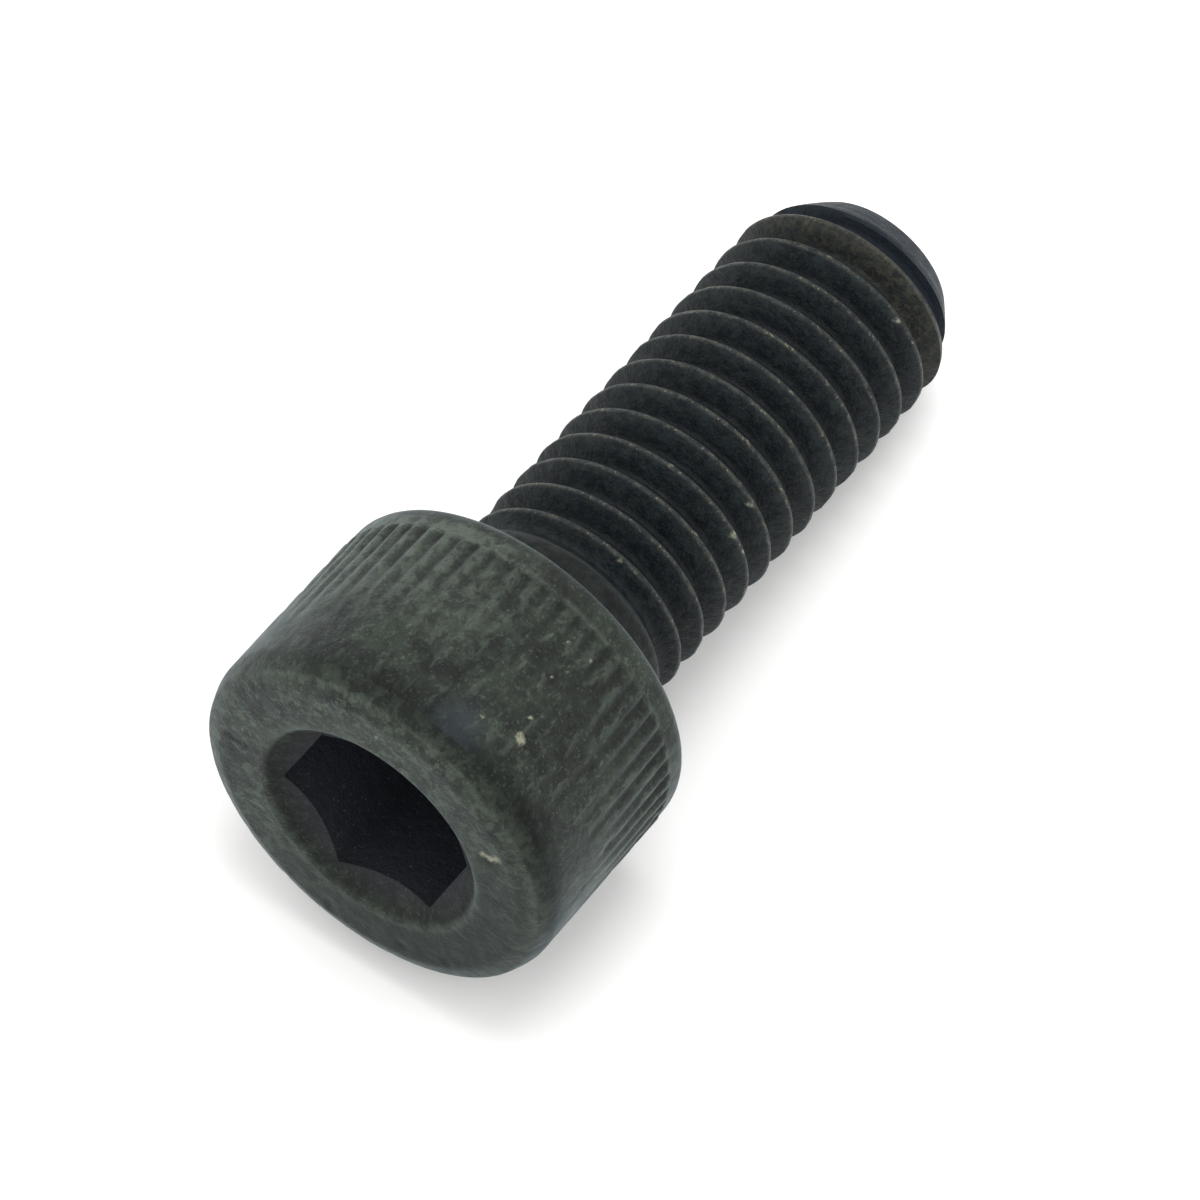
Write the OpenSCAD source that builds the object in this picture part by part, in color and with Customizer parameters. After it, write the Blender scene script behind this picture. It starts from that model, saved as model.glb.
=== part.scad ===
// Torque converter bolt: an M8 x 1.25 socket head cap screw, 20 mm long under the head.
// One steel piece: knurled cylindrical head, hexagon socket, fully threaded shank.
// It is drawn along its own axis (bearing face at 0, shank towards +), then laid
// down on the ground as it comes to rest: on the rim of its head and the end of its thread.
// Row frame: +Z up, head towards -Y, origin on the ground under the middle of the bolt.

/* [Head] */
// Head diameter over the knurl crests (mm)
head_d = 13.0; // [11.5:0.1:15]
// Head height from bearing face to flat face (mm)
head_h = 8.0; // [7:0.1:10]
// Width of the broken edge round the flat face (mm)
face_edge = 0.8; // [0.3:0.05:1.2]
// Radial width of the rounded edge at the bearing face (mm)
bearing_edge_w = 0.4; // [0.2:0.05:0.6]
// Axial length of the rounded edge at the bearing face (mm)
bearing_edge_l = 0.6; // [0.3:0.05:0.9]

/* [Knurl] */
// Number of straight knurl grooves round the head
knurl_count = 60; // [40:2:72]
// Depth of the grooves at their deep end, next to the plain band (mm)
knurl_depth = 0.2; // [0.1:0.01:0.25]
// Width of the plain band between knurl and bearing edge (mm)
plain_band = 0.5; // [0.3:0.1:1]
// Length of the knurl along the head (mm)
knurl_length = 5.2; // [3:0.1:5.4]
// Amount that the plain band lies under the knurl crests (mm)
band_step = 0.04; // [0.02:0.01:0.1]

/* [Socket] */
// Width across flats of the hexagon socket, 6 mm key with its working clearance (mm)
socket_af = 6.1; // [5:0.05:6.5]
// Depth of the full hexagon from the flat face (mm)
socket_depth = 4.3; // [4:0.1:4.6]
// Depth of the shallow cone below the hexagon (mm)
socket_cone = 0.4; // [0.2:0.1:0.6]
// Diameter of the countersink at the mouth of the socket (mm)
mouth_d = 8.2; // [7.9:0.1:8.8]
// Included angle of the countersink (degrees)
mouth_angle = 110; // [90:5:130]
// Turn of the hexagon about the bolt's axis (degrees)
socket_turn = -10; // [-30:1:30]

/* [Thread] */
// Diameter over the thread crests, nominal 8 mm (mm)
thread_d = 7.87; // [7.76:0.01:7.97]
// Thread pitch (mm)
pitch = 1.25; // [1:0.25:1.25]
// Length from bearing face to end (mm)
bolt_length = 20; // [16:1:40]
// Radius of the rounded thread root (mm)
root_r = 0.18; // [0.15:0.01:0.2]
// Length of the plain shank under the head (mm)
plain_l = 1.3; // [0.6:0.1:2]
// Length over which the thread deepens from the plain shank to its full form (mm)
run_out = 2; // [1:0.1:3]
// Turn of the thread start about the bolt's axis (degrees)
thread_turn = 210; // [0:1:359]

/* [End] */
// Diameter of the flat at the thread end (mm)
end_d = 5.6; // [5:0.1:6.2]
// Length of the rounded taper at the thread end (mm)
end_l = 2.1; // [1.2:0.1:2.4]

/* [Hidden] */
$fn = 72;

head_r = head_d / 2;
band_r = head_r - band_step;
crest_r = thread_d / 2;
end_r = end_d / 2;

// The side of the bolt that is downwards once it is laid down, as an angle about its axis
down = 90;

// Head: the face's broken edge has a crease half way round, this far in from the corner
face_crease = 0.29 * face_edge;
// The fillet's end lies a little inside the shank, so that the two surfaces cross
fillet_r = 0.4;
fillet_end_r = crest_r - 0.08;
fillet_steps = 4;
edge_steps = 4;
band_start = bearing_edge_l;
knurl_start = bearing_edge_l + plain_band;

// Knurl: each groove is a V of 90 degrees that runs out towards the flat face
groove_side = 1.2;
groove_slope = atan(knurl_depth / knurl_length);

// Socket: corner radius of the hexagon and depth of the countersink
hex_r = socket_af / 2 / cos(30);
mouth_r = mouth_d / 2;
mouth_depth = mouth_r / tan(mouth_angle / 2);
over = 0.5;

// Thread: 60 degree metric form with a slightly broken crest and a rounded root
thread_steps = 36;
step_angle = 360 / thread_steps;
crest_edge_z = 0.11;
crest_edge_drop = 0.05;
thread_depth = 0.61343 * pitch - (8 - thread_d) / 2 * 0.1;
core_r = crest_r - thread_depth;
root_half_z = root_r * cos(30);
root_rise = root_r * (1 - sin(30));
// One pitch of the form: [place along the axis, radius]
form = [
    [0, crest_r],
    [crest_edge_z, crest_r - crest_edge_drop],
    [pitch / 2 - root_half_z, core_r + root_rise],
    [pitch / 2, core_r],
    [pitch / 2 + root_half_z, core_r + root_rise],
    [pitch - crest_edge_z, crest_r - crest_edge_drop],
];
form_n = len(form);
shank_top = -1;
helix_base = shank_top - 2 * pitch;
turns = ceil((bolt_length - helix_base) / pitch) + 2;
rows = turns * form_n;
snap = 0.4 * pitch / thread_steps;
// How the taper of the end curves: 1 is a plain cone, more is rounder
end_curve = 1.4;

// Rest: the places along the axis and radii that can touch the ground. On the head they are
// the plain band and the knurl's end, on the shank the thread crests on its lower side.
head_feet = [[band_start, band_r], [knurl_start, head_r]];
first_foot = helix_base + (down - thread_turn) / 360 * pitch;
foot_turns = floor((bolt_length - first_foot) / pitch);
shank_feet = [for (i = [foot_turns - 3 : foot_turns])
    let (z = first_foot + i * pitch) [z, end_cap(z)]];
function lean(head, tip) = atan((head[1] - tip[1]) / (head[0] + tip[0]));
rest_tilt = max([for (h = head_feet) min([for (t = shank_feet) lean(h, t)])]);
rest_height = max([for (h = head_feet) h[1] * cos(rest_tilt) - h[0] * sin(rest_tilt)]);
// The row's origin lies under the middle of the laid bolt
rest_front = head_h * cos(rest_tilt) + (head_r - face_edge) * sin(rest_tilt);
rest_back = bolt_length * cos(rest_tilt) + end_r * sin(rest_tilt);
rest_shift = (rest_front - rest_back) / 2;

function smooth(t) = let (c = min(max(t, 0), 1)) c * c * (3 - 2 * c);

// Rounded taper of the end: radius that the thread may not pass at z
function end_cap(z) = let (t = min(max((z - bolt_length + end_l) / end_l, 0), 1))
    crest_r - (crest_r - end_r) * pow(t, end_curve);

// The thread's grooves deepen out of the plain shank
function form_radius(k, z) = let (full = smooth((z - plain_l) / run_out))
    min(crest_r - (crest_r - form[k][1]) * full, end_cap(z));

function helix_z(j, m) = helix_base + (floor(m / form_n) + j / thread_steps) * pitch
    + form[m % form_n][0];

function helix_point(j, m) = let (
    z = helix_z(j, m),
    a = thread_turn + step_angle * j,
    r = form_radius(m % form_n, z)
) [r * cos(a), r * sin(a), z];

// A ring of points closes each end, and the helix rows outside the ends fold on to it
function ring(r, z) = [for (j = [0 : thread_steps - 1])
    [r * cos(thread_turn + step_angle * j), r * sin(thread_turn + step_angle * j), z]];

function point_index(j, m) = let (
    c = j % thread_steps,
    w = m + form_n * floor(j / thread_steps),
    z = helix_z(c, w)
) z < shank_top + snap ? c
    : z > bolt_length - snap ? thread_steps + c
    : 2 * thread_steps + c * rows + w;

function tri(a, b, c) = (a == b || b == c || a == c) ? [] : [[a, b, c]];

shank_points = concat(
    ring(crest_r, shank_top),
    ring(end_r, bolt_length),
    [for (j = [0 : thread_steps - 1]) for (m = [0 : rows - 1]) helix_point(j, m)]
);
shank_faces = concat(
    [[for (j = [0 : thread_steps - 1]) j]],
    [[for (j = [thread_steps - 1 : -1 : 0]) thread_steps + j]],
    [for (j = [0 : thread_steps - 1]) for (m = [0 : rows - form_n - 2])
        let (
            p = point_index(j, m),
            q = point_index(j + 1, m),
            s = point_index(j + 1, m + 1),
            t = point_index(j, m + 1)
        ) for (f = concat(tri(p, t, s), tri(p, s, q))) f]
);

module shank() {
    polyhedron(points = shank_points, faces = shank_faces, convexity = 10);
}

// Head blank: half section turned round the axis, bearing face at 0
module head_blank() {
    rotate_extrude()
        polygon(concat(
            [[0, -head_h]],
            [[head_r - face_edge, -head_h]],
            [[head_r - face_crease, -head_h + face_crease]],
            [[head_r, -head_h + face_edge]],
            [[head_r, -knurl_start], [band_r, -knurl_start]],
            [for (i = [0 : edge_steps]) let (a = 90 * i / edge_steps)
                [band_r - bearing_edge_w * (1 - cos(a)), -band_start + bearing_edge_l * sin(a)]],
            [for (i = [0 : fillet_steps]) let (a = 90 * i / fillet_steps)
                [fillet_end_r + fillet_r * (1 - sin(a)), fillet_r * (1 - cos(a))]],
            [[0, fillet_r]]
        ));
}

// Each groove is one edge of a square bar, tipped so that it runs out towards the flat face
module knurl_grooves() {
    for (i = [0 : knurl_count - 1])
        rotate(down + 360 * i / knurl_count)
            translate([head_r - knurl_depth, 0, -knurl_start])
                rotate([0, -groove_slope, 0])
                    rotate(-45)
                        translate([0, 0, -head_h])
                            cube([groove_side, groove_side, head_h]);
}

module hex_socket() {
    translate([0, 0, -head_h]) {
        rotate(socket_turn)
            translate([0, 0, -over])
                cylinder(r = hex_r, h = socket_depth + over, $fn = 6);
        translate([0, 0, socket_depth])
            cylinder(r1 = socket_af / 2, r2 = 0.2, h = socket_cone);
        cylinder(r1 = mouth_r, r2 = 0.2, h = mouth_depth - 0.2 / tan(mouth_angle / 2));
    }
}

module lie_down() {
    translate([0, rest_shift, rest_height])
        rotate([-(90 + rest_tilt), 0, 0])
            children();
}

module bolt() {
    color([0.16, 0.17, 0.18])
        lie_down()
            union() {
                difference() {
                    head_blank();
                    knurl_grooves();
                    hex_socket();
                }
                shank();
            }
}

bolt();
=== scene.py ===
"""Looks of the torque converter bolt: one detailed steel surface that stands for the CAD node,
black oxide with worn knurl, crests and edges, on a white ground.

The surface is built in millimetres along the bolt's own axis (bearing face at 0, head towards
minus, shank towards plus), as part.scad builds the solid, and is then laid down in the row frame.
Angles are about that axis, and 90 degrees is the side that the bolt lies on.
"""

import math

import bpy
import numpy as np
from mathutils import Matrix, Vector, noise


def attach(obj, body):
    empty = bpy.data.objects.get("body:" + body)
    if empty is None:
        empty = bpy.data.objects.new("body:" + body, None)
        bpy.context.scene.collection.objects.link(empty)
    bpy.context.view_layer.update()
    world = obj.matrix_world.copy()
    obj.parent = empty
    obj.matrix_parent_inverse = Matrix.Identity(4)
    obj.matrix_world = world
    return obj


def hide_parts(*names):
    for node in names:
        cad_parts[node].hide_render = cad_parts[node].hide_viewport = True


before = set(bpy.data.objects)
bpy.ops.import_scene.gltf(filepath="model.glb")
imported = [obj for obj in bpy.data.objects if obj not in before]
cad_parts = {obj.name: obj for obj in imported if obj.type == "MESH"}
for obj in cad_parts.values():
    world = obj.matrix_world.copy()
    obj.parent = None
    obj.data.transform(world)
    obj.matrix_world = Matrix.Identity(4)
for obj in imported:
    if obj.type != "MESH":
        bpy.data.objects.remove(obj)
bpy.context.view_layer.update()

MM = 0.001

# Sizes in millimetres, the same as in part.scad
HEAD_R = 6.5
HEAD_H = 8.0
FACE_EDGE = 0.8
FACE_CREASE = 0.29 * FACE_EDGE
BEARING_EDGE_W = 0.4
BEARING_EDGE_L = 0.6
BAND_STEP = 0.04
KNURL_COUNT = 60
KNURL_DEPTH = 0.2
KNURL_LENGTH = 5.2
KNURL_START = 1.1
SOCKET_AF = 6.1
SOCKET_DEPTH = 4.3
SOCKET_CONE = 0.4
SOCKET_TURN = math.radians(-10)
MOUTH_R = 4.1
MOUTH_ANGLE = math.radians(110)
CREST_R = 3.935
THREAD_DEPTH = 0.7603
PITCH = 1.25
THREAD_TURN = math.radians(210)
HELIX_BASE = -3.5
ROOT_R = 0.18
CREST_EDGE = 0.11
CREST_DROP = 0.05
PLAIN_L = 1.3
RUN_OUT = 2.0
LENGTH = 20.0
END_R = 2.8
END_L = 2.1
END_CURVE = 1.4
FILLET_R = 0.4
FILLET_END_R = CREST_R - 0.08

# Where the thread's straight flank meets the rounded root
CORE_R = CREST_R - THREAD_DEPTH
ROOT_FOOT = PITCH / 2 - ROOT_R * math.cos(math.radians(30))
ROOT_FOOT_R = CORE_R + ROOT_R * 0.5
# Side of the bolt that is downwards once it is laid down
DOWN = math.pi / 2

# Fineness of the surface
PER_GROOVE = 10
HEAD_COLUMNS = KNURL_COUNT * PER_GROOVE
TURN_COLUMNS = 96
CORNER_ROWS = 5
KNURL_ROWS = 46
# Rows over the step from the knurl to the plain band, along the axis
BAND_ROWS = [-1.06, -1.02, -0.98, -0.95]
# Distance outside the countersink of the face's first row
FACE_FIRST = 0.06
# Edges sharper than this are drawn as edges
SHARP_ANGLE = math.radians(38)
# Points this close are one point (decimals of a millimetre), and head and shank are kept apart
WELD_DECIMALS = 5
WELD_APART = 1000

# Wear of the form. How far each corner of the face's broken edge is worn round, along the profile
FACE_CUT = [0.14, 0.09, 0.2]
# Half the width of a groove at its top, rounded
GROOVE_HALF_W = 0.29
# Length over which a groove ends at the plain band
GROOVE_END_L = 0.12
# The grooves' depth and length as shares of the full ones: middle value and swing
GROOVE_DEEP = (0.82, 0.18)
GROOVE_LONG = (0.86, 0.14)
# The handled side: half its width in radians, and how much of the grooves is rubbed away there
HANDLED_W = 0.62
HANDLED_RUB = (0.35, 0.5)
# How much of that reaches the plain band, and the length over which it grows to the full amount
HANDLED_START = 0.25
HANDLED_GROWTH = 2.6
# Hollow of the thread's flat end, and the rings it is drawn with
END_DISH = 0.12
END_RINGS = [END_R, END_R - 0.1, 2.4, 1.6, 0.8, 0]

# Depth of dents in millimetres: gentle waves, pits, the long scar and bites out of the crests
SIDE_WAVES = 0.012
SIDE_PITS = 0.05
FACE_WAVES = 0.01
FACE_PITS = 0.04
SCAR_DEPTH = 0.06
CREST_BITES = 0.13

# Sides of the bolt, as angles about its axis. The one that carries most of the wear
WORN_SIDE = math.radians(-70)
# The one on which the painted shade in the ring behind the face's crease is darkest
RING_SHADE_SIDE = math.radians(-5)
# The one on which the knurl gets a painted highlight all over
KNURL_HIGHLIGHT_SIDE = math.radians(-130)
# The one on which the flat face is painted darker as painted shade, and is less glossy
FACE_SHADE_SIDE = math.radians(50)
# The one with the long scar along the head, half the scar's width, and its two ends
SCAR_SIDE = math.radians(-79.5)
SCAR_HALF_W = 0.1
SCAR_FROM = -7.5
SCAR_TO = -3.2

# Where the plain shank ends on the worn side
COLLAR_END = 2.1
# The brown worn last turn of the thread, and where the dark tip starts
LAST_TURN = (17.2, 18.35)
TIP_START = 18.3
# Depth over which the socket's wall grows to its inner colour, which is painted paler than the coat
# as painted light
SOCKET_LIGHT_DEPTH = 1.1
# Everything of the head before this is at or near the flat face
NEAR_FACE = -7.5

# Bright nicks: place along the axis, angle in degrees, size
HEAD_NICKS = [
    (-6.0, -68, 0.1), (-4.8, -58, 0.08), (-5.6, -56, 0.19), (-5.5, -57, 0.1), (-2.8, -59, 0.07),
    (-1.9, -56, 0.08), (-2.0, -64, 0.06), (-3.6, -52, 0.06), (-3.3, -61, 0.06), (-2.3, -57, 0.06),
]
CREST_NICKS = [
    (6.9, -79, 0.11), (6.9, -33, 0.16), (8.3, -50, 0.15), (8.0, -38, 0.12), (8.3, -37, 0.09),
    (9.4, -61, 0.11), (10.5, -62, 0.09), (10.7, -46, 0.11), (2.9, -68, 0.09), (14.5, -70, 0.11),
    (13.2, -55, 0.11), (15.8, -31, 0.09), (16.8, -45, 0.09), (5.7, -50, 0.12), (7.0, -22, 0.09),
    (17.7, -112, 0.12), (16.8, -89, 0.09),
]
# A patch of knurl rubbed bluish, in the same terms
RUBBED_PATCH = (-7.0, -71, 0.85)
# Dents in the flat face: x, y, radius, depth
FACE_DENTS = [
    (4.5, -2.5, 0.42, 0.1), (-4.75, -0.41, 0.16, 0.05), (-5.3, -0.44, 0.14, 0.05),
    (-4.1, -0.5, 0.16, 0.05), (1.6, 4.9, 0.2, 0.05), (-1.2, 5.1, 0.16, 0.04),
]
# Pale chips in the flat face: x, y, radius
FACE_CHIPS = [
    (4.62, -2.58, 0.2), (4.42, -2.35, 0.14), (4.15, -2.45, 0.16), (-2.1, -4.7, 0.08),
    (0.0, -5.0, 0.1),
]
CHIP_STRENGTH = 0.8
# A dark wavy scratch across the face's left: from x, to x, y, and half its width
FACE_SCRATCH = (-5.65, -3.9, -0.45)
SCRATCH_HALF_W = 0.07


# ---------------------------------------------------------------- curves and noise


def steps(a, b, n):
    """n even steps from a to b, b included and a left out."""
    return [a + (b - a) * (i + 1) / n for i in range(n)]


def smooth(t):
    t = np.clip(t, 0, 1)
    return t * t * (3 - 2 * t)


def rise(value, start, width):
    """0 up to the start, then smoothly to 1 over the width."""
    return smooth((value - start) / width)


def fall(value, end, width):
    """1, then smoothly to 0 over the width before the end."""
    return smooth((end - value) / width)


def bell(value, centre, width):
    """1 at the centre, falling to 0 at about twice the width."""
    return np.exp(-(((value - centre) / width) ** 2))


def grain(points, scale, seed, octaves):
    """Noise between about -1 and 1 at points in millimetres."""
    shift = Vector((seed * 17.3, seed * 5.1, seed * 9.7))
    return np.array([noise.fractal(Vector(p) * scale + shift, 1.0, 2.0, octaves) for p in points])


def around(points, z, degrees, radius, size):
    """1 at a spot on the surface, falling to 0 at about twice its size."""
    a = math.radians(degrees)
    d2 = ((points - [radius * math.cos(a), radius * math.sin(a), z]) ** 2).sum(axis=1)
    return np.exp(-d2 / size**2)


def face_spot(points, x, y, size):
    """1 at a spot of the flat face, falling to 0 at about twice its size."""
    return np.exp(-((points[:, 0] - x) ** 2 + (points[:, 1] - y) ** 2) / size**2)


def toward(angle, side):
    """1 on the side at that angle, falling to 0 on the opposite side."""
    return 0.5 + 0.5 * np.cos(angle - side)


def turn_from(angle, side):
    """Angle from that side, between minus and plus half a turn."""
    return np.angle(np.exp(1j * (angle - side)))


# ---------------------------------------------------------------- form


def hexagon(angle):
    """Distance from the axis to the socket's wall."""
    sixth = math.pi / 3
    turned = np.mod(angle - SOCKET_TURN, sixth) - sixth / 2
    return SOCKET_AF / 2 / np.cos(turned)


def groove_depth(index, z):
    """Depth of a groove by its number: deepest at the plain band, and each a little different."""
    deep, deep_swing = GROOVE_DEEP
    long, long_swing = GROOVE_LONG
    uneven = deep + deep_swing * np.sin(index * 2.7) * np.cos(index * 1.3)
    reach = (-z - KNURL_START) / (KNURL_LENGTH * (long + long_swing * np.sin(index * 4.1)))
    return KNURL_DEPTH * np.clip(1 - reach, 0, 1) * uneven


def knurl_rub(angle, index, z):
    """Share of the knurl that hands have rubbed away, wavering from groove to groove."""
    least, swing = HANDLED_RUB
    waver = 0.5 + 0.5 * np.sin(z * 1.9 + index * 5.3) * np.sin(z * 3.1 + index * 2.1)
    growth = np.clip(HANDLED_START + (-z - KNURL_START) / HANDLED_GROWTH, 0, 1)
    handled = bell(turn_from(angle, WORN_SIDE), 0, HANDLED_W) * growth
    return handled * (least + swing * waver)


def knurl_cut(angle, z):
    """Depth of the knurl below the crests: V grooves, rounded and worn on the handled side."""
    pitch = 2 * math.pi / KNURL_COUNT
    index = np.round(angle / pitch)
    off = np.abs(angle - index * pitch) * HEAD_R
    depth = groove_depth(index, z) * (1 - knurl_rub(angle, index, z))
    ending = np.clip((KNURL_START + z) / -GROOVE_END_L + 1, 0, 1)
    depth = np.where(z > -KNURL_START, depth * ending, depth)
    return depth * (1 - smooth(off / GROOVE_HALF_W))


def face_edge_profile():
    """Rows (r, z) round the broken edge of the face, its corners worn round."""
    path = [
        (HEAD_R - FACE_EDGE - 1, -HEAD_H),
        (HEAD_R - FACE_EDGE, -HEAD_H),
        (HEAD_R - FACE_CREASE, -HEAD_H + FACE_CREASE),
        (HEAD_R, -HEAD_H + FACE_EDGE),
        (HEAD_R, -HEAD_H + FACE_EDGE + 1),
    ]
    rows = []
    for before, corner, after, cut in zip(path, path[1:], path[2:], FACE_CUT):
        b, c, a = np.array(before), np.array(corner), np.array(after)
        start = c + (b - c) / np.linalg.norm(b - c) * cut
        end = c + (a - c) / np.linalg.norm(a - c) * cut
        for t in np.linspace(0, 1, CORNER_ROWS):
            rows.append((1 - t) ** 2 * start + 2 * t * (1 - t) * c + t**2 * end)
    return rows


def socket_rows(angle):
    """Rows (z, r) from the middle of the socket's floor up its wall to the countersink's edge."""
    hexa = hexagon(angle)
    floor_z = -HEAD_H + SOCKET_DEPTH
    rim_z = -HEAD_H + (MOUTH_R - hexa) / math.tan(MOUTH_ANGLE / 2)
    rows = []
    for t in [0, 0.3, 0.6, 0.85, 1.0]:
        rows.append((floor_z + SOCKET_CONE * (1 - t), SOCKET_AF / 2 * t))
    rows.append((floor_z, hexa))
    for t in [0.03, 0.12] + steps(0.12, 0.97, 9) + [1.0]:
        rows.append((floor_z + (rim_z - floor_z) * t, hexa))
    for t in [0.06] + steps(0.06, 0.94, 5):
        rows.append((rim_z + (-HEAD_H - rim_z) * t, hexa + (MOUTH_R - hexa) * t))
    rows.append((-HEAD_H + 0.01, MOUTH_R))
    return rows


def face_rows():
    """Rows (z, r) over the flat face and its broken edge."""
    first = MOUTH_R + FACE_FIRST
    last = HEAD_R - FACE_EDGE - FACE_CUT[0] - 0.04
    flat = [(-HEAD_H, r) for r in [first] + steps(first, last, 10)]
    return flat + [(z, r) for r, z in face_edge_profile()]


def side_rows(angle):
    """Rows (z, r) along the knurl and the plain band."""
    rows = []
    knurl_end = -HEAD_H + FACE_EDGE + FACE_CUT[2]
    for z in steps(knurl_end, -KNURL_START, KNURL_ROWS) + BAND_ROWS:
        r = HEAD_R - BAND_STEP * rise(z, -KNURL_START, 0.08)
        rows.append((z, r - knurl_cut(angle, z)))
    for z in steps(BAND_ROWS[-1], -BEARING_EDGE_L, 3):
        rows.append((z, HEAD_R - BAND_STEP))
    return rows


def bearing_rows():
    """Rows (z, r) round the bearing edge, in along the bearing face and up the fillet."""
    rows = []
    for a in steps(0, math.pi / 2, 7):
        r = HEAD_R - BAND_STEP - BEARING_EDGE_W * (1 - math.cos(a))
        rows.append((-BEARING_EDGE_L * (1 - math.sin(a)), r))
    inner = FILLET_END_R + FILLET_R
    for r in steps(HEAD_R - BAND_STEP - BEARING_EDGE_W, inner, 6):
        rows.append((0, r))
    for a in steps(0, math.pi / 2, 4):
        rows.append((FILLET_R * (1 - math.cos(a)), inner - FILLET_R * math.sin(a)))
    return rows


def grid_faces(columns, rows, closed):
    """Quads of a grid whose vertices run along the rows first."""
    c = np.arange(columns if closed else columns - 1)
    k = np.arange(rows - 1)
    cc, kk = np.meshgrid(c, k, indexing="ij")
    beside = (cc + 1) % columns
    near = [cc * rows + kk, beside * rows + kk]
    far = [beside * rows + kk + 1, cc * rows + kk + 1]
    return np.stack(near + far, axis=-1).reshape(-1, 4)


def turned_points(r, a, z):
    """Points at radius r, angle a and place z, as one long list."""
    return np.stack([r * np.cos(a), r * np.sin(a), z], axis=-1).reshape(-1, 3)


def head_points():
    """The head, from the middle of the socket's floor to the end of the fillet."""
    angle = np.arange(HEAD_COLUMNS) * 2 * math.pi / HEAD_COLUMNS
    one = np.ones_like(angle)
    rows = socket_rows(angle) + face_rows() + side_rows(angle) + bearing_rows()
    z = np.stack([one * row[0] for row in rows], axis=1)
    r = np.stack([one * row[1] for row in rows], axis=1)
    a = angle[:, None] * np.ones_like(r)
    return turned_points(r, a, z), grid_faces(HEAD_COLUMNS, len(rows), True)


def end_cap(z):
    """Radius that the thread may not pass at z: the rounded taper of the end."""
    t = np.clip((z - LENGTH + END_L) / END_L, 0, 1)
    return CREST_R - (CREST_R - END_R) * t**END_CURVE


def thread_form(u):
    """Radius at a distance u along the axis from the nearest crest."""
    crest = CREST_R - CREST_DROP * (u / CREST_EDGE) ** 2
    share = (u - CREST_EDGE) / (ROOT_FOOT - CREST_EDGE)
    flank = CREST_R - CREST_DROP + (ROOT_FOOT_R - CREST_R + CREST_DROP) * share
    root = CORE_R + ROOT_R - np.sqrt(np.maximum(ROOT_R**2 - (PITCH / 2 - u) ** 2, 0))
    return np.where(u < CREST_EDGE, crest, np.where(u < ROOT_FOOT, flank, root))


def shank_points():
    """The helix as one long strip a pitch wide, folded on to the planes that end it."""
    half = [0, 0.06, CREST_EDGE, 0.23, 0.35, ROOT_FOOT, 0.55]
    across = np.array(half + [PITCH / 2] + [PITCH - h for h in reversed(half)])
    turns = math.ceil((LENGTH - HELIX_BASE) / PITCH) + 2
    columns = turns * TURN_COLUMNS + 1
    c = np.arange(columns)[:, None]
    z = HELIX_BASE + c / TURN_COLUMNS * PITCH + across[None, :]
    a = THREAD_TURN + 2 * math.pi * (c % TURN_COLUMNS) / TURN_COLUMNS + 0 * z
    near = np.minimum(across, PITCH - across)[None, :] + 0 * z
    full = smooth((z - PLAIN_L) / RUN_OUT)
    r = np.minimum(CREST_R - (CREST_R - thread_form(near)) * full, end_cap(z))
    points = turned_points(r, a, np.clip(z, FILLET_R / 2, LENGTH))
    crest = bell(near, 0, 0.06) * full
    # share of the root, used for painted shade in the roots
    root = rise(near, 0.3, 0.3) * full
    return points, grid_faces(columns, len(across), False), crest.reshape(-1), root.reshape(-1)


def end_points():
    """The flat end of the thread, a little hollow."""
    angle = THREAD_TURN + np.arange(TURN_COLUMNS) * 2 * math.pi / TURN_COLUMNS
    r = np.array(END_RINGS)[None, :] + 0 * angle[:, None]
    a = angle[:, None] + 0 * r
    dish = -END_DISH * (1 - (r / END_R) ** 2)
    return turned_points(r, a, LENGTH + dish), grid_faces(TURN_COLUMNS, len(END_RINGS), True)


def whole_surface():
    """All points and quads, which points are on the shank, and their crest and root shares."""
    head, head_quads = head_points()
    shank, shank_quads, crest, root = shank_points()
    end, end_quads = end_points()
    points = np.vstack([head, shank, end])
    shank_start, end_start = len(head), len(head) + len(shank)
    quads = np.vstack([head_quads, shank_quads + shank_start, end_quads + end_start])
    on_shank = np.arange(len(points)) >= shank_start
    ends = (shank_start, len(end))
    return points, quads, on_shank, np.pad(crest, ends), np.pad(root, ends)


def weld(points, quads, on_shank):
    """Merge the points that coincide, and drop the faces that fold to nothing."""
    key = np.round(points, WELD_DECIMALS)
    key[:, 0] += on_shank * WELD_APART
    _, first, index = np.unique(key, axis=0, return_index=True, return_inverse=True)
    faces = []
    for quad in index.reshape(-1)[quads]:
        face = [int(v) for i, v in enumerate(quad) if v != quad[i - 1]]
        if len(set(face)) == len(face) and len(face) > 2:
            faces.append(face)
    return first, faces


def lay_down():
    """Bolt axis to row frame, in metres: it rests on its head and on a crest near the end."""
    foot = HELIX_BASE + (DOWN - THREAD_TURN) / (2 * math.pi) * PITCH
    turns = math.floor((LENGTH - foot) / PITCH)
    shank_feet = [foot + i * PITCH for i in range(turns - 3, turns + 1)]
    head_feet = [(BEARING_EDGE_L, HEAD_R - BAND_STEP), (KNURL_START, HEAD_R)]
    tilts = []
    for h, r in head_feet:
        tilts.append(min(math.atan((r - float(end_cap(z))) / (h + z)) for z in shank_feet))
    tilt = max(tilts)
    height = max(r * math.cos(tilt) - h * math.sin(tilt) for h, r in head_feet)
    front = HEAD_H * math.cos(tilt) + (HEAD_R - FACE_EDGE) * math.sin(tilt)
    back = LENGTH * math.cos(tilt) + END_R * math.sin(tilt)
    turn = Matrix.Rotation(-math.pi / 2 - tilt, 4, "X")
    laid = Matrix.Translation((0, (front - back) / 2, height)) @ turn
    laid.translation = laid.translation * MM
    return laid


# ---------------------------------------------------------------- wear, marks and painted light


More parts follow.
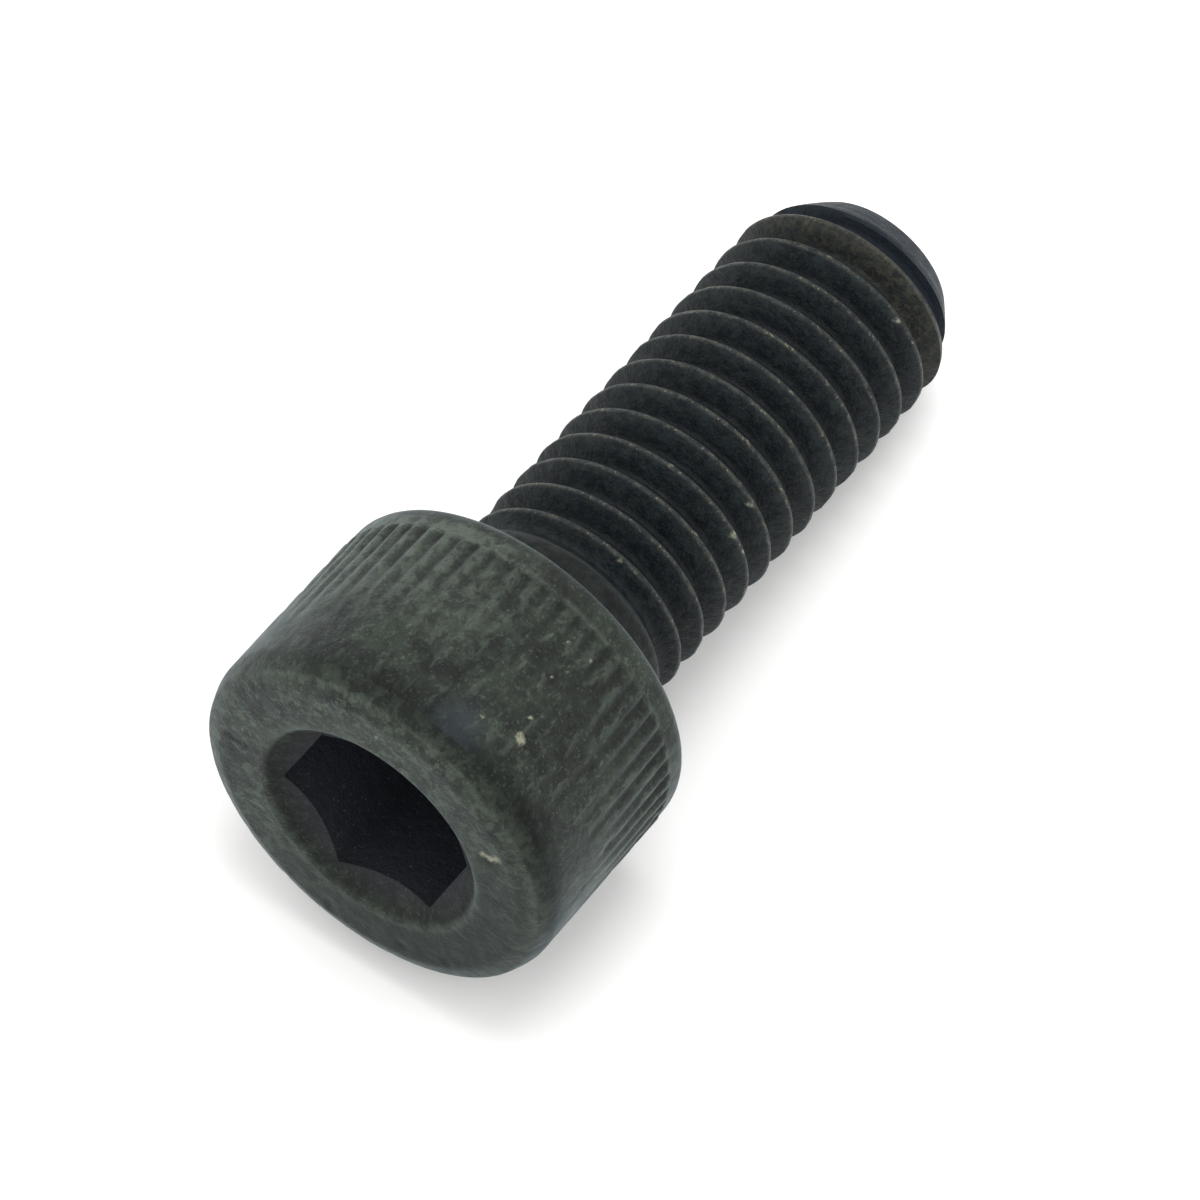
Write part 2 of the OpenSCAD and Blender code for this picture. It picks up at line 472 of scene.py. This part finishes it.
class Places:
    """Where each point of the surface is, and the regions that wear and colour go by."""

    def __init__(self, points, on_shank):
        self.points = points
        self.shank = on_shank
        self.head = ~on_shank
        self.z = points[:, 2]
        self.far = np.linalg.norm(points[:, :2], axis=1)
        self.angle = np.arctan2(points[:, 1], points[:, 0])
        self.side = self.head_side(-HEAD_H + FACE_EDGE * 0.9, -0.5, HEAD_R - 0.4)

    def head_side(self, start, end, least_far):
        """The outside of the head between two places along the axis."""
        return self.head & (self.z > start) & (self.z < end) & (self.far > least_far)


def scar_mark(place):
    """The long scar along the side of the head."""
    side = place.head_side(-HEAD_H + FACE_EDGE * 0.5, -0.3, HEAD_R - 0.5)
    across = bell(turn_from(place.angle, SCAR_SIDE) * HEAD_R, 0, SCAR_HALF_W)
    return across * fall(place.z, SCAR_TO, 1.5) * rise(place.z, SCAR_FROM, 0.6) * side


def weather(place, crest, scar):
    """Small dents, pits and nicks, always inwards, so that the surface stays inside the solid's."""
    points = place.points
    radial = points.copy()
    radial[:, 2] = 0
    radial /= np.maximum(place.far, 1e-6)[:, None]
    side = place.head_side(-HEAD_H + FACE_EDGE * 0.5, -0.3, HEAD_R - 0.5)
    face = place.head & (place.z < -HEAD_H + 0.3) & (place.far > MOUTH_R)
    waves = np.clip(grain(points, 1.0, 1, 2) + 0.3, 0, 1)
    pits = np.maximum(grain(points, 2.0, 2, 1) - 0.3, 0)
    bites = np.maximum(grain(points, 1.5, 5, 1) - 0.1, 0) * crest
    dent = side * (SIDE_WAVES * waves + SIDE_PITS * pits) + scar * SCAR_DEPTH
    dent = dent + place.shank * bites * CREST_BITES
    sink = face * (FACE_WAVES * waves + FACE_PITS * pits)
    for x, y, size, depth in FACE_DENTS:
        sink = sink + face * face_spot(points, x, y, size) * depth
    worn = points - radial * dent[:, None]
    worn[:, 2] += sink
    return worn


def nick_mark(place):
    """Bright nicks in the head and the crests, and pale chips in the flat face."""
    nicks = np.zeros(len(place.z))
    for z, degrees, size in HEAD_NICKS:
        nicks += around(place.points, z, degrees, HEAD_R, size)
    for z, degrees, size in CREST_NICKS:
        nicks += around(place.points, z, degrees, CREST_R, size) * place.shank
    for x, y, size in FACE_CHIPS:
        chip = CHIP_STRENGTH * face_spot(place.points, x, y, size)
        nicks += chip * (place.z < NEAR_FACE)
    return np.clip(nicks, 0, 1)


def scratch_mark(place):
    """The dark wavy scratch across the flat face."""
    x, y = place.points[:, 0], place.points[:, 1]
    start, end, middle = FACE_SCRATCH
    along = rise(x, start, 0.3) * fall(x, end, 0.3)
    across = bell(y, middle + 0.07 * np.sin(x * 7), SCRATCH_HALF_W)
    return along * across * (place.z < NEAR_FACE)


def collar_end(place):
    """Where the plain shank ends: the edge climbs half a pitch in a turn."""
    return COLLAR_END + 0.5 * PITCH * turn_from(place.angle, WORN_SIDE) / (2 * math.pi)


def edge_wear_and_highlight_mark(place):
    """Edges worn bare at the countersink and the face, and painted highlight lines along the
    knurl's end and the plain shank's end.
    """
    z, far = place.z, place.far
    lip = place.head * bell(far, MOUTH_R, 0.16) * (z < -HEAD_H + 0.3)
    face_edge = place.head * bell(far, HEAD_R - 0.35, 0.3) * (z < -HEAD_H + FACE_EDGE)
    # painted highlight lines at the knurl's end and the plain shank's end
    band_highlight = place.side * bell(z, 0.1 - KNURL_START, 0.08)
    collar_highlight = place.shank * bell(z, collar_end(place), 0.06)
    return np.clip(lip * 0.7 + face_edge * 0.8 + band_highlight + collar_highlight, 0, 1)


def knurl_marks(place, scar):
    """Marks along the side of the head."""
    z, angle = place.z, place.angle
    cut = knurl_cut(angle, z) * place.side
    patch_z, patch_degrees, patch_size = RUBBED_PATCH
    patch = around(place.points, patch_z, patch_degrees, HEAD_R, patch_size)
    # painted highlight: the knurl paler on one side, growing away from the flat face
    pale = rise(toward(angle, KNURL_HIGHLIGHT_SIDE), 0.75, 0.25) * rise(z, -5.5, 2.5)
    ridge = (0.5 - 0.5 * np.cos(angle * KNURL_COUNT)) * fall(z, -KNURL_START, 0.3)
    # painted shade in the knurl's grooves, as dark as they are deep, and the scar and the scratch
    # darkened
    groove = cut / KNURL_DEPTH * 1.4 + scar * 0.8 + scratch_mark(place)
    return {
        "groove": np.clip(groove, 0, 1),
        "ridge": place.side * ridge,
        "knurl_painted_highlight": place.side * pale,
        "rubbed": place.side * np.clip(patch, 0, 1),
    }


def face_marks(place):
    """Marks of the flat face, its painted shade on one side, the painted shade in the ring behind
    its crease and in the countersink, and the socket's painted light.
    """
    z, far, angle = place.z, place.far, place.angle
    # painted shade: a dark ring just behind the face's crease, darkest on one side
    ring = rise(z, -HEAD_H + FACE_CREASE * 0.8, 0.12) * fall(z, -5.9, 1.3)
    ring = ring * place.head * (far > HEAD_R - FACE_EDGE * 0.8)
    # painted shade in the countersink, weaker on the side the bolt lies on
    mouth = place.head * fall(far, MOUTH_R - 0.04, 0.15) * (z < -HEAD_H + 1.0)
    flat = place.head * rise(far, MOUTH_R, 0.1) * fall(z, -HEAD_H + 0.3, 0.15)
    in_socket = place.head & (far < MOUTH_R - 0.02) & (z < -2)
    return {
        "ring_painted_shade": ring * (0.35 + 0.65 * toward(angle, RING_SHADE_SIDE)),
        "mouth": mouth * (1 - 0.65 * toward(angle, DOWN) ** 2),
        "flat": flat,
        # painted shade: the flat face darker towards one side
        "flat_painted_shade": flat * np.clip(1.4 * toward(angle, FACE_SHADE_SIDE) - 0.4, 0, 1),
        # how deep the socket's inside is painted paler, as painted light
        "socket": np.clip((z + HEAD_H) / SOCKET_LIGHT_DEPTH, 0, 1) * in_socket,
    }


def shank_marks(place):
    """Marks of the shank: plain collar, worn last turn and dark tip."""
    z = place.z
    start, end = LAST_TURN
    return {
        "shank": place.shank.astype(float),
        "collar": place.shank * fall(z, collar_end(place), 0.12),
        "last_turn": place.shank * rise(z, start, 0.5) * fall(z, end, 0.25),
        "tip": place.shank * rise(z, TIP_START, 0.5),
    }


def store_marks(mesh, place, marks):
    """Each mark as a value of the points, and their places before the bolt was laid down."""
    for name, values in marks.items():
        layer = mesh.attributes.new(name, "FLOAT", "POINT")
        layer.data.foreach_set("value", values.astype(np.float32))
    layer = mesh.attributes.new("place", "FLOAT_VECTOR", "POINT")
    layer.data.foreach_set("vector", place.points.astype(np.float32).reshape(-1))


def bolt_mesh():
    """The whole surface, worn, marked for its colours and laid down."""
    points, quads, on_shank, crest, root = whole_surface()
    first, faces = weld(points, quads, on_shank)
    place = Places(points[first], on_shank[first])
    crest, root = crest[first], root[first]
    scar = scar_mark(place)
    mesh = bpy.data.meshes.new("bolt_surface")
    mesh.from_pydata((weather(place, crest, scar) * MM).tolist(), [], faces)
    mesh.update()
    mesh.validate()
    marks = {"crest": crest, "root": root, "edge": edge_wear_and_highlight_mark(place), "nick": nick_mark(place)}
    marks.update(knurl_marks(place, scar))
    marks.update(face_marks(place))
    marks.update(shank_marks(place))
    store_marks(mesh, place, marks)
    mesh.transform(lay_down())
    mesh.shade_smooth()
    mesh.set_sharp_from_angle(angle=SHARP_ANGLE)
    return mesh


# ---------------------------------------------------------------- materials

# Multiplies every colour of the coat, to suit the room's light
COAT_TONE = 0.9

# Colours of the head's coat, 0 to 255
OXIDE_DARK = (19, 22, 20)
OXIDE = (36, 42, 36)
OXIDE_MOTTLE = (50, 58, 50)
OXIDE_FLECK = (76, 88, 76)
FLAT_PATCH = (84, 98, 84)
PALE_SPECK = (102, 114, 98)
RUBBED_BLUE = (66, 75, 84)
# Painted highlight on one side of the knurl
KNURL_HIGHLIGHT_PALE = (96, 105, 96)
# Dark of pits in the coat, and painted shade in the knurl's grooves
PIT_AND_GROOVE_SHADE = (14, 16, 14)
RIDGE_STREAK = (84, 93, 84)
# Painted shade behind the face's crease and in the countersink
RING_AND_MOUTH_SHADE = (12, 13, 14)
# Painted shade on one side of the flat face
FLAT_SHADE_DARK = (19, 25, 19)
# Bare worn edges of the head, and a painted highlight line at the knurl's end
HEAD_EDGE_WEAR_AND_HIGHLIGHT = (84, 92, 84)
# Colours of the thread's coat
THREAD_DARK = (18, 25, 29)
THREAD_MOTTLE = (33, 40, 42)
THREAD_DOT = (50, 52, 46)
# Painted shade in the thread's roots
ROOT_SHADE_BLUE = (9, 13, 18)
CREST_WORN = (70, 72, 64)
CREST_CHIP = (116, 112, 92)
LAST_BROWN = (56, 56, 49)
TIP_BLUE = (36, 42, 50)
PLAIN_DARK = (14, 18, 20)
PLAIN_MOTTLE = (30, 34, 33)
# Painted highlight line along the plain shank's end
COLLAR_HIGHLIGHT = (80, 82, 74)
# Colours of the socket, its grey painted paler as painted light, of bare metal in the nicks, and
# the painted sheen of a surface seen along itself
# The socket's inside, painted paler than the coat as painted light
SOCKET_PAINTED_LIGHT = (43, 44, 50)
SOCKET_DUST = (104, 108, 110)
BARE_METAL = (128, 130, 112)
# Painted sheen of a surface seen along itself
PAINTED_SHEEN = (106, 122, 126)


def srgb(r, g, b):
    """A colour of the coat, 0 to 255, as linear values times the tone of the coat."""
    return [COAT_TONE * (c / 255) ** 2.2 for c in (r, g, b)] + [1]


class Nodes:
    """Short names for building a material."""

    def __init__(self, name):
        self.material = bpy.data.materials.new(name)
        self.material.use_nodes = True
        self.tree = self.material.node_tree
        self.tree.nodes.clear()

    def add(self, kind, **settings):
        node = self.tree.nodes.new(kind)
        for key, value in settings.items():
            setattr(node, key, value)
        return node

    def link(self, a, b):
        self.tree.links.new(a, b)

    def put(self, value, socket):
        if isinstance(value, bpy.types.NodeSocket):
            self.link(value, socket)
        else:
            socket.default_value = value

    def mark(self, name):
        """One of the values that the mesh holds for each point."""
        return self.add("ShaderNodeAttribute", attribute_name=name).outputs["Fac"]

    def place(self):
        return self.add("ShaderNodeAttribute", attribute_name="place").outputs["Vector"]

    def noise(self, scale, detail, rough, stretch=None, distortion=0.0):
        """Noise of so many waves a millimetre, drawn out along the axis where stretch says so."""
        node = self.add("ShaderNodeTexNoise")
        node.inputs["Scale"].default_value = scale
        node.inputs["Detail"].default_value = detail
        node.inputs["Roughness"].default_value = rough
        node.inputs["Distortion"].default_value = distortion
        where = self.place()
        if stretch:
            mapping = self.add("ShaderNodeMapping")
            mapping.inputs["Scale"].default_value = stretch
            self.link(where, mapping.inputs["Vector"])
            where = mapping.outputs["Vector"]
        self.link(where, node.inputs["Vector"])
        return node.outputs["Fac"]

    def cells(self, scale):
        node = self.add("ShaderNodeTexVoronoi")
        node.inputs["Scale"].default_value = scale
        self.link(self.place(), node.inputs["Vector"])
        return node.outputs["Distance"]

    def ramp(self, value, low, high, out_low=0.0, out_high=1.0):
        node = self.add("ShaderNodeMapRange", interpolation_type="SMOOTHSTEP")
        self.put(value, node.inputs["Value"])
        node.inputs["From Min"].default_value = low
        node.inputs["From Max"].default_value = high
        node.inputs["To Min"].default_value = out_low
        node.inputs["To Max"].default_value = out_high
        return node.outputs["Result"]

    def share(self, value, at_none, at_full):
        """A value from 0 to 1 turned into a share between two others."""
        return self.ramp(value, 0.0, 1.0, at_none, at_full)

    def math(self, operation, a, b=0.0, clamp=False):
        node = self.add("ShaderNodeMath", operation=operation, use_clamp=clamp)
        self.put(a, node.inputs[0])
        self.put(b, node.inputs[1])
        return node.outputs[0]

    def times(self, a, b, clamp=False):
        return self.math("MULTIPLY", a, b, clamp)

    def less(self, a, b, clamp=False):
        return self.math("SUBTRACT", a, b, clamp)

    def most(self, a, b):
        return self.math("MAXIMUM", a, b)

    def mix(self, factor, a, b):
        node = self.add("ShaderNodeMix", data_type="RGBA")
        self.put(factor, node.inputs[0])
        self.put(a, node.inputs[6])
        self.put(b, node.inputs[7])
        return node.outputs[2]

    def over(self, colour, factor, tone):
        """The colour with a tone of the coat laid over it by a factor."""
        return self.mix(factor, colour, srgb(*tone))

    def bump(self, height, strength, distance, normal=None):
        node = self.add("ShaderNodeBump")
        node.inputs["Strength"].default_value = strength
        node.inputs["Distance"].default_value = distance
        self.link(height, node.inputs["Height"])
        if normal:
            self.link(normal, node.inputs["Normal"])
        return node.outputs["Normal"]


def oxide_colour(m, mottle):
    """Grey green oxide, dark in patches, with flecks, specks and pale patches on the flat face."""
    blotch = m.ramp(m.noise(0.5, 3.0, 0.6, distortion=0.6), 0.36, 0.66)
    flecks = m.ramp(m.noise(5.0, 3.0, 0.6, distortion=0.2), 0.52, 0.68)
    specks = m.ramp(m.noise(10.0, 2.0, 0.6), 0.6, 0.72)
    patches = m.ramp(m.noise(2.7, 4.0, 0.7, distortion=0.3), 0.5, 0.6)
    colour = m.mix(blotch, srgb(*OXIDE_DARK), srgb(*OXIDE))
    colour = m.over(colour, m.times(mottle, m.share(blotch, 0.35, 0.58)), OXIDE_MOTTLE)
    colour = m.over(colour, m.times(flecks, m.share(blotch, 0.16, 0.36)), OXIDE_FLECK)
    colour = m.over(colour, m.times(m.times(patches, m.mark("flat")), 0.4), FLAT_PATCH)
    return m.over(colour, m.times(specks, 0.3), PALE_SPECK)


def head_colour(m):
    """The head's oxide, rubbed and streaked along the knurl, with painted shade round face and
    mouth and in the grooves, and a painted highlight.
    """
    mottle = m.ramp(m.noise(1.9, 5.0, 0.72, distortion=0.2), 0.4, 0.63)
    pits = m.ramp(m.cells(2.6), 0.18, 0.06)
    drawn = m.ramp(m.noise(3.0, 3.0, 0.6, stretch=(1.0, 1.0, 0.4)), 0.52, 0.62)
    colour = oxide_colour(m, mottle)
    colour = m.over(colour, m.times(m.mark("rubbed"), 0.5), RUBBED_BLUE)
    # painted highlight on one side of the knurl
    colour = m.over(colour, m.times(m.mark("knurl_painted_highlight"), m.share(mottle, 0.15, 0.5)), KNURL_HIGHLIGHT_PALE)
    colour = m.over(colour, m.times(pits, 0.5), PIT_AND_GROOVE_SHADE)
    # painted shade in the knurl's grooves, and the darker scar and scratch
    colour = m.over(colour, m.times(m.mark("groove"), 0.7), PIT_AND_GROOVE_SHADE)
    colour = m.over(colour, m.times(m.times(drawn, m.mark("ridge")), 0.3), RIDGE_STREAK)
    # painted shade in the ring behind the face's crease
    colour = m.over(colour, m.times(m.mark("ring_painted_shade"), 0.62), RING_AND_MOUTH_SHADE)
    # painted shade in the countersink
    colour = m.over(colour, m.times(m.mark("mouth"), m.share(mottle, 0.95, 0.5)), RING_AND_MOUTH_SHADE)
    # painted shade on one side of the flat face
    colour = m.over(colour, m.times(m.mark("flat_painted_shade"), 0.9), FLAT_SHADE_DARK)
    # edges worn bare, and a painted highlight line at the knurl's end
    worn = m.times(m.mark("edge"), m.ramp(mottle, 0.1, 0.9, 0.35, 0.9))
    return m.over(colour, m.times(worn, 0.45), HEAD_EDGE_WEAR_AND_HIGHLIGHT)


def thread_colour(m):
    """Near black, with painted bluish shade in the roots, thin worn crests and a brownish worn last
    turn.
    """
    mottle = m.ramp(m.noise(2.6, 5.0, 0.7), 0.4, 0.62)
    dots = m.ramp(m.noise(12.0, 2.0, 0.6), 0.54, 0.68)
    worn = m.ramp(m.noise(3.4, 4.0, 0.7, distortion=0.4), 0.42, 0.6)
    chips = m.ramp(m.noise(7.5, 2.0, 0.6), 0.6, 0.68)
    colour = m.mix(mottle, srgb(*THREAD_DARK), srgb(*THREAD_MOTTLE))
    colour = m.over(colour, m.times(dots, 0.45), THREAD_DOT)
    # painted shade in the roots
    colour = m.over(colour, m.times(m.mark("root"), 0.6), ROOT_SHADE_BLUE)
    colour = m.over(colour, m.times(m.mark("crest"), m.share(worn, 0.12, 0.75)), CREST_WORN)
    colour = m.over(colour, m.times(m.times(m.mark("crest"), chips), 0.85), CREST_CHIP)
    colour = m.over(colour, m.times(m.mark("last_turn"), m.share(worn, 0.25, 0.95)), LAST_BROWN)
    colour = m.over(colour, m.times(m.mark("tip"), 0.7), TIP_BLUE)
    plain = m.mix(mottle, srgb(*PLAIN_DARK), srgb(*PLAIN_MOTTLE))
    colour = m.mix(m.mark("collar"), colour, plain)
    # painted highlight line along the plain shank's end
    return m.over(colour, m.times(m.mark("edge"), 0.35), COLLAR_HIGHLIGHT)


def steel_colour(m, shank):
    """Head and thread, the socket's inside painted paler as painted light with dust, bare nicks and
    a painted glancing sheen.
    """
    colour = m.mix(shank, head_colour(m), thread_colour(m))
    dust = m.ramp(m.noise(9.0, 2.0, 0.6), 0.64, 0.72)
    # painted light: the socket's inside painted paler than the coat, with dust specks
    inside = m.mix(m.times(dust, 0.5), srgb(*SOCKET_PAINTED_LIGHT), srgb(*SOCKET_DUST))
    colour = m.mix(m.ramp(m.mark("socket"), 0.1, 0.9), colour, inside)
    fine = m.noise(6.0, 3.0, 0.7)
    nick = m.times(m.mark("nick"), m.ramp(fine, 0.35, 0.6, 0.4, 1.0), clamp=True)
    colour = m.over(colour, m.ramp(nick, 0.15, 0.75), BARE_METAL)
    # painted sheen: surfaces seen along themselves are painted paler, less on the thread and not in
    # the countersink
    facing = m.add("ShaderNodeLayerWeight")
    facing.inputs["Blend"].default_value = 0.5
    rim = m.math("POWER", facing.outputs["Facing"], 3.5)
    rim = m.times(rim, m.share(shank, 0.6, 0.12))
    rim = m.times(rim, m.share(m.mark("mouth"), 1.0, 0.0))
    return m.over(colour, rim, PAINTED_SHEEN)


def steel_specular(m, shank):
    """The coat's gloss, duller in the dark ring, the countersink, the thread and the tip."""
    dull = m.most(m.mark("ring_painted_shade"), m.mark("mouth"))
    dull = m.most(dull, m.times(m.mark("flat_painted_shade"), 0.5))
    dull = m.most(dull, m.times(shank, 0.4))
    dull = m.most(dull, m.mark("tip"))
    return m.share(dull, 0.21, 0.1)


def steel_roughness(m):
    """Uneven, and smoother where the coat is worn."""
    rough = m.ramp(m.noise(2.2, 4.0, 0.65), 0.32, 0.7, 0.62, 0.48)
    rough = m.less(rough, m.times(m.mark("crest"), 0.12))
    return m.less(rough, m.times(m.mark("rubbed"), 0.15), clamp=True)


def steel_relief(m):
    """Fine unevenness, grain and scratches along the axis, as bump of so many metres."""
    coarse = m.bump(m.noise(2.4, 4.0, 0.65), 0.7, 0.0001)
    grainy = m.bump(m.noise(8.0, 3.0, 0.7), 0.6, 0.00005, coarse)
    return m.bump(m.noise(5.0, 2.0, 0.5, stretch=(1.0, 1.0, 0.08)), 0.08, 0.00002, grainy)


def black_steel():
    m = Nodes("black_oxide_steel")
    shank = m.mark("shank")
    shader = m.add("ShaderNodeBsdfPrincipled")
    shader.inputs["Metallic"].default_value = 0.0
    m.link(steel_colour(m, shank), shader.inputs["Base Color"])
    m.link(steel_specular(m, shank), shader.inputs["Specular IOR Level"])
    m.link(steel_roughness(m), shader.inputs["Roughness"])
    m.link(steel_relief(m), shader.inputs["Normal"])
    out = m.add("ShaderNodeOutputMaterial")
    m.link(shader.outputs["BSDF"], out.inputs["Surface"])
    return m.material


# The ground: a matt white, and how much its own light lifts it near the bolt and far away
FLOOR_WHITE = 0.95
FLOOR_BLUE = 0.99
NEAR_LIFT = 0.0
FAR_LIFT = 0.8
# Distances from the origin (m) between which the lift grows
LIFT_START = 0.05
LIFT_END = 0.3


def white_floor():
    """Matt white. Away from the bolt the camera and glossy rays see it lifted to plain white."""
    m = Nodes("white_ground")
    matt = m.add("ShaderNodeBsdfDiffuse")
    matt.inputs["Color"].default_value = (FLOOR_WHITE, FLOOR_WHITE, FLOOR_WHITE * FLOOR_BLUE, 1)
    lift = m.add("ShaderNodeEmission")
    path = m.add("ShaderNodeLightPath")
    seen = m.most(path.outputs["Is Camera Ray"], path.outputs["Is Glossy Ray"])
    away = m.add("ShaderNodeVectorMath", operation="LENGTH")
    m.link(m.add("ShaderNodeNewGeometry").outputs["Position"], away.inputs[0])
    level = m.ramp(away.outputs["Value"], LIFT_START, LIFT_END, NEAR_LIFT, FAR_LIFT)
    m.link(m.times(seen, level), lift.inputs["Strength"])
    both = m.add("ShaderNodeAddShader")
    m.link(matt.outputs[0], both.inputs[0])
    m.link(lift.outputs[0], both.inputs[1])
    out = m.add("ShaderNodeOutputMaterial")
    m.link(both.outputs[0], out.inputs["Surface"])
    return m.material


# ---------------------------------------------------------------- stage

GROUND_SIZE = 6
# Strength of the white surroundings near the table and overhead, and the heights (0 level,
# 1 straight up) between which it changes
ROOM_LOW = 1.36
ROOM_HIGH = 1.2
ROOM_LOW_AT = 0.15
ROOM_HIGH_AT = 0.85
# One weak lamp over the bolt: place and width in metres, and watts
LAMP_PLACE = (0.01, 0.056, 0.4)
LAMP_SIZE = 0.2
LAMP_WATTS = 0.6

# The photograph's camera in the bolt's own coordinates (mm), worked out from outline and thread
CAMERA_PLACE = (69.744, -195.082, -120.566)
CAMERA_TARGET = (0.336, 0.798, 4.102)
CAMERA_UP = (0, -0.99142, -0.13074)
LENS = 229.83
SENSOR_WIDTH = 36
CLIP_START = 0.005


def studio():
    bpy.ops.mesh.primitive_plane_add(size=GROUND_SIZE)
    floor = bpy.context.object
    floor.name = "ground"
    floor.data.materials.append(white_floor())
    bpy.context.scene.world = white_room()
    soft_light("lamp_overhead", LAMP_PLACE, LAMP_SIZE, LAMP_WATTS)


def white_room():
    """White surroundings, brighter near the table than overhead, and plain white to the camera."""
    world = bpy.data.worlds.new("white_room")
    world.use_nodes = True
    tree = world.node_tree
    sky = tree.nodes["Background"]
    sky.inputs["Color"].default_value = (1, 1, 1, 1)
    where = tree.nodes.new("ShaderNodeTexCoord")
    parts = tree.nodes.new("ShaderNodeSeparateXYZ")
    height = tree.nodes.new("ShaderNodeMapRange")
    height.inputs["From Min"].default_value = ROOM_LOW_AT
    height.inputs["From Max"].default_value = ROOM_HIGH_AT
    height.inputs["To Min"].default_value = ROOM_LOW
    height.inputs["To Max"].default_value = ROOM_HIGH
    path = tree.nodes.new("ShaderNodeLightPath")
    level = tree.nodes.new("ShaderNodeMix")
    level.inputs[3].default_value = 1.0
    tree.links.new(where.outputs["Generated"], parts.inputs["Vector"])
    tree.links.new(parts.outputs["Z"], height.inputs["Value"])
    tree.links.new(path.outputs["Is Camera Ray"], level.inputs[0])
    tree.links.new(height.outputs["Result"], level.inputs[2])
    tree.links.new(level.outputs[0], sky.inputs["Strength"])
    return world


def soft_light(name, place, size, watts):
    """A disk lamp at a place, turned to the origin."""
    light = bpy.data.lights.new(name, "AREA")
    light.shape = "DISK"
    light.size = size
    light.energy = watts
    lamp = bpy.data.objects.new(name, light)
    lamp.location = place
    lamp.rotation_euler = (Vector((0, 0, 0)) - Vector(place)).to_track_quat("-Z", "Y").to_euler()
    bpy.context.collection.objects.link(lamp)


def photograph_camera():
    data = bpy.data.cameras.new("photograph")
    data.sensor_width = SENSOR_WIDTH
    data.lens = LENS
    data.clip_start = CLIP_START
    camera = bpy.data.objects.new("photograph", data)
    place = Vector(CAMERA_PLACE)
    back = (place - Vector(CAMERA_TARGET)).normalized()
    right = Vector(CAMERA_UP).cross(back).normalized()
    axes = Matrix((right, back.cross(right), back)).transposed().to_4x4()
    camera.matrix_world = lay_down() @ Matrix.Translation(place * MM) @ axes
    bpy.context.collection.objects.link(camera)
    bpy.context.scene.camera = camera


bolt = bpy.data.objects.new("bolt_surface", bolt_mesh())
bpy.context.collection.objects.link(bolt)
bolt.data.materials.append(black_steel())
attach(bolt, "root")
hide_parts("bolt")

studio()
photograph_camera()
bpy.context.scene.view_settings.view_transform = "Standard"
